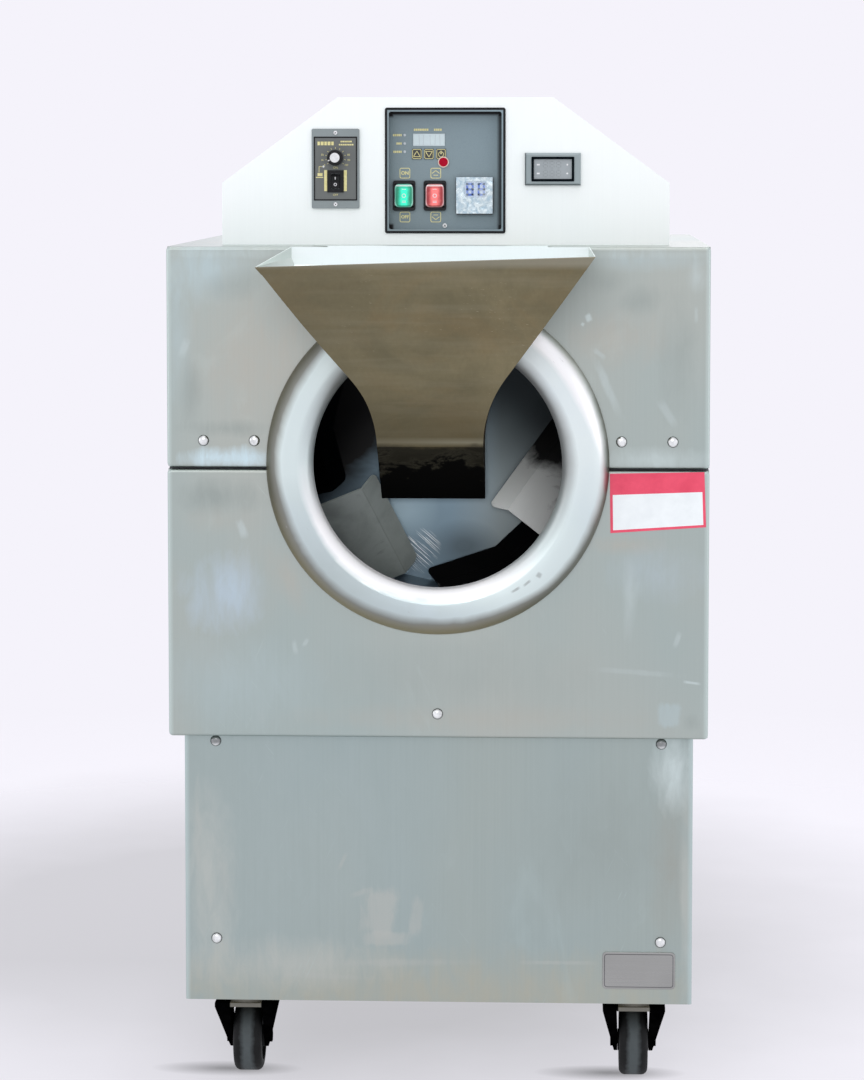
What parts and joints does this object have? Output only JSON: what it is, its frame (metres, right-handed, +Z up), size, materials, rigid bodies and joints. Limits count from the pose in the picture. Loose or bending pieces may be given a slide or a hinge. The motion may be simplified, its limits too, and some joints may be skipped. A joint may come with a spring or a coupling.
{
  "type": "drum roaster",
  "caption": "Electric drum roaster for cocoa beans: steel casing on a caster cabinet, round mouth with a lift-off hopper, turning drum with vanes, belt drive and a control housing on top.",
  "frame": {"origin": "on the floor under the middle of the machine's box", "axes": "+Z up, the drum's mouth and the controls face -Y, +X to the right as seen from the front"},
  "size_m": [0.68, 0.9092, 1.266],
  "materials": {
    "casing_steel": "brushed, with fine scratches",
    "hopper_steel": "satin, lightly heat tinted",
    "polished_steel": "polished",
    "drum_steel": "bright, scuffed",
    "frame_steel": "mill finish",
    "shaft_steel": "turned",
    "cast_grey": "painted casting",
    "motor_paint": "enamel",
    "belt_rubber": "matt",
    "wool_blanket": "fibre blanket",
    "zinc_plate": "yellow zinc",
    "black_fork": "black enamel",
    "wheel_rubber": "matt",
    "gland_nylon": "moulded",
    "tray_plastic": "fine grained",
    "key_plastic": "moulded",
    "window_lens": "translucent",
    "controller_plastic": "moulded",
    "knob_plastic": "moulded",
    "green_lens": "translucent",
    "red_lens": "translucent"
  },
  "bodies": {
    "machine": {"cabinet_front_panel": "casing_steel", "cabinet_left_panel": "casing_steel", "cabinet_rear_panel": "casing_steel", "cabinet_right_panel": "casing_steel", "hood_front_panel": "casing_steel", "hood_left_panel": "casing_steel", "hood_right_panel": "casing_steel", "hood_top": "casing_steel", "rear_lower_panel": "casing_steel", "rear_upper_panel": "casing_steel", "tub_front_panel": "casing_steel", "tub_left_panel": "casing_steel", "tub_right_panel": "casing_steel", "control_housing": "casing_steel", "control_panel": "casing_steel", "tub_floor": "casing_steel", "cabinet_floor": "casing_steel", "mouth_ring": "polished_steel", "panel_screws": "polished_steel", "chamber_liner": "drum_steel", "bulkheads": "drum_steel", "frame_posts": "frame_steel", "bearing_bracket": "frame_steel", "temperature_probe": "frame_steel", "heating_elements": "frame_steel", "shaft_bearings": "cast_grey", "gearbox": "cast_grey", "drive_motor": "motor_paint", "drive_belt": "belt_rubber", "insulation": "wool_blanket", "caster_plates": "zinc_plate", "caster_bolts": "zinc_plate", "cable_gland": "gland_nylon", "control_tray": "tray_plastic", "rocker_frames": "tray_plastic", "display_window": "window_lens", "temperature_controller": "controller_plastic", "temperature_display": "controller_plastic", "speed_controller": "controller_plastic"},
    "drum": {"drum_barrel": "drum_steel", "drum_vanes": "drum_steel", "drum_shaft": "shaft_steel", "drum_pulley": "cast_grey"},
    "motor_drive": {"motor_pulley": "cast_grey"},
    "hopper": {"hopper": "hopper_steel"},
    "speed_knob": {"speed_knob": "knob_plastic"},
    "run_rocker": {"run_rocker": "knob_plastic"},
    "power_rocker": {"power_rocker": "green_lens"},
    "direction_rocker": {"direction_rocker": "red_lens"},
    "key_up": {"key_up": "key_plastic"},
    "key_down": {"key_down": "key_plastic"},
    "key_power": {"key_power": "key_plastic"},
    "caster_fork_front_left": {"caster_fork_front_left": "black_fork"},
    "caster_wheel_front_left": {"caster_wheel_front_left": "wheel_rubber"},
    "caster_fork_front_right": {"caster_fork_front_right": "black_fork"},
    "caster_wheel_front_right": {"caster_wheel_front_right": "wheel_rubber"},
    "caster_fork_rear_left": {"caster_fork_rear_left": "black_fork"},
    "caster_wheel_rear_left": {"caster_wheel_rear_left": "wheel_rubber"},
    "caster_fork_rear_right": {"caster_fork_rear_right": "black_fork"},
    "caster_wheel_rear_right": {"caster_wheel_rear_right": "wheel_rubber"}
  },
  "joints": [
    {"name": "drum_spin", "type": "hinge", "parent": "machine", "child": "drum", "pos_m": [0, 0.02164, 0.8065], "axis": [0, 1, 0], "continuous": true},
    {"name": "motor_spin", "type": "hinge", "parent": "machine", "child": "motor_drive", "pos_m": [0, 0.39164, 0.213], "axis": [0, 1, 0], "continuous": true},
    {"name": "hopper_lift", "type": "slide", "parent": "machine", "child": "hopper", "axis": [0, -0.8, 0.6], "range_m": [0, 0.2]},
    {"name": "speed_knob_turn", "type": "hinge", "parent": "machine", "child": "speed_knob", "pos_m": [-0.1345, -0.18336, 1.189], "axis": [0, 1, 0], "range_deg": [-12, 242]},
    {"name": "run_rocker_tilt", "type": "hinge", "parent": "machine", "child": "run_rocker", "pos_m": [-0.1345, -0.17736, 1.159], "axis": [1, 0, 0], "range_deg": [-24, 0]},
    {"name": "power_rocker_tilt", "type": "hinge", "parent": "machine", "child": "power_rocker", "pos_m": [-0.0478, -0.15736, 1.1406], "axis": [1, 0, 0], "range_deg": [-12, 12]},
    {"name": "direction_rocker_tilt", "type": "hinge", "parent": "machine", "child": "direction_rocker", "pos_m": [-0.0082, -0.15736, 1.1406], "axis": [1, 0, 0], "range_deg": [-12, 12]},
    {"name": "key_up_press", "type": "slide", "parent": "machine", "child": "key_up", "axis": [0, 1, 0], "range_m": [0, 0.001], "stiffness_N_per_m": 150, "springref_m": -0.001},
    {"name": "key_down_press", "type": "slide", "parent": "machine", "child": "key_down", "axis": [0, 1, 0], "range_m": [0, 0.001], "stiffness_N_per_m": 150, "springref_m": -0.001},
    {"name": "key_power_press", "type": "slide", "parent": "machine", "child": "key_power", "axis": [0, 1, 0], "range_m": [0, 0.001], "stiffness_N_per_m": 150, "springref_m": -0.001},
    {"name": "swivel_front_left", "type": "hinge", "parent": "machine", "child": "caster_fork_front_left", "pos_m": [-0.25, -0.19136, 0.1], "axis": [0, 0, 1], "continuous": true},
    {"name": "wheel_spin_front_left", "type": "hinge", "parent": "caster_fork_front_left", "child": "caster_wheel_front_left", "pos_m": [-0.25, -0.16336, 0.0445], "axis": [1, 0, 0], "continuous": true},
    {"name": "swivel_front_right", "type": "hinge", "parent": "machine", "child": "caster_fork_front_right", "pos_m": [0.25, -0.19136, 0.1], "axis": [0, 0, 1], "continuous": true},
    {"name": "wheel_spin_front_right", "type": "hinge", "parent": "caster_fork_front_right", "child": "caster_wheel_front_right", "pos_m": [0.25, -0.16336, 0.0445], "axis": [1, 0, 0], "continuous": true},
    {"name": "swivel_rear_left", "type": "hinge", "parent": "machine", "child": "caster_fork_rear_left", "pos_m": [-0.25, 0.35464, 0.1], "axis": [0, 0, 1], "continuous": true},
    {"name": "wheel_spin_rear_left", "type": "hinge", "parent": "caster_fork_rear_left", "child": "caster_wheel_rear_left", "pos_m": [-0.25, 0.38264, 0.0445], "axis": [1, 0, 0], "continuous": true},
    {"name": "swivel_rear_right", "type": "hinge", "parent": "machine", "child": "caster_fork_rear_right", "pos_m": [0.25, 0.35464, 0.1], "axis": [0, 0, 1], "continuous": true},
    {"name": "wheel_spin_rear_right", "type": "hinge", "parent": "caster_fork_rear_right", "child": "caster_wheel_rear_right", "pos_m": [0.25, 0.38264, 0.0445], "axis": [1, 0, 0], "continuous": true}
  ],
  "couplings": [
    {"joint": "motor_spin", "follows": "drum_spin", "ratio": 2.5}
  ]
}
